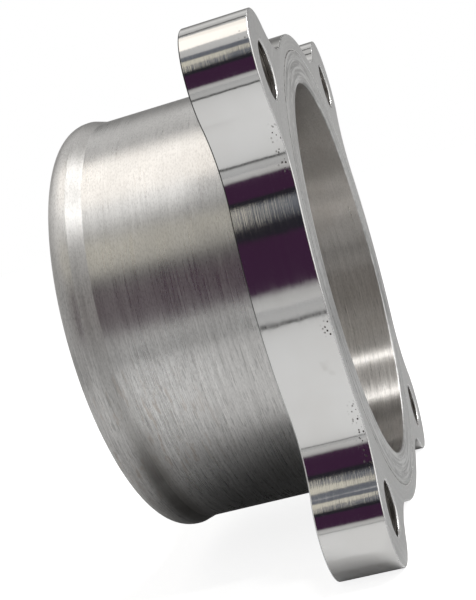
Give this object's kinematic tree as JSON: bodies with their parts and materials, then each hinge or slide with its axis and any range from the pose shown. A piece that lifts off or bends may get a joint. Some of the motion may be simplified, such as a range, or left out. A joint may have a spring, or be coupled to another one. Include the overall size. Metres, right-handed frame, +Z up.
{
  "type": "intake hose adapter flange",
  "caption": "Machined aluminium intake adapter: a thick eared flange that bolts on, with a short beaded tube through it for a hose.",
  "frame": {"origin": "centre of the bore at the flange's mating face", "axes": "+X out of the mating face along the bore, away from the hose end; +Z up, so the part lies on its two lower ears as in the picture; the bolt holes lie on a square upright to Y and Z"},
  "size_m": [0.0508, 0.1046, 0.1046],
  "materials": {
    "machined_flange": "bright machined aluminium, near mirror on the side walls and satin on the faces",
    "brushed_tube": "satin aluminium with fine turning marks round the tube",
    "faced_weld": "weld metal faced off flush, satin with swirled tool marks"
  },
  "bodies": {
    "root": {"mounting_flange": "machined_flange", "hose_spigot": "brushed_tube", "face_weld": "faced_weld"}
  },
  "joints": []
}
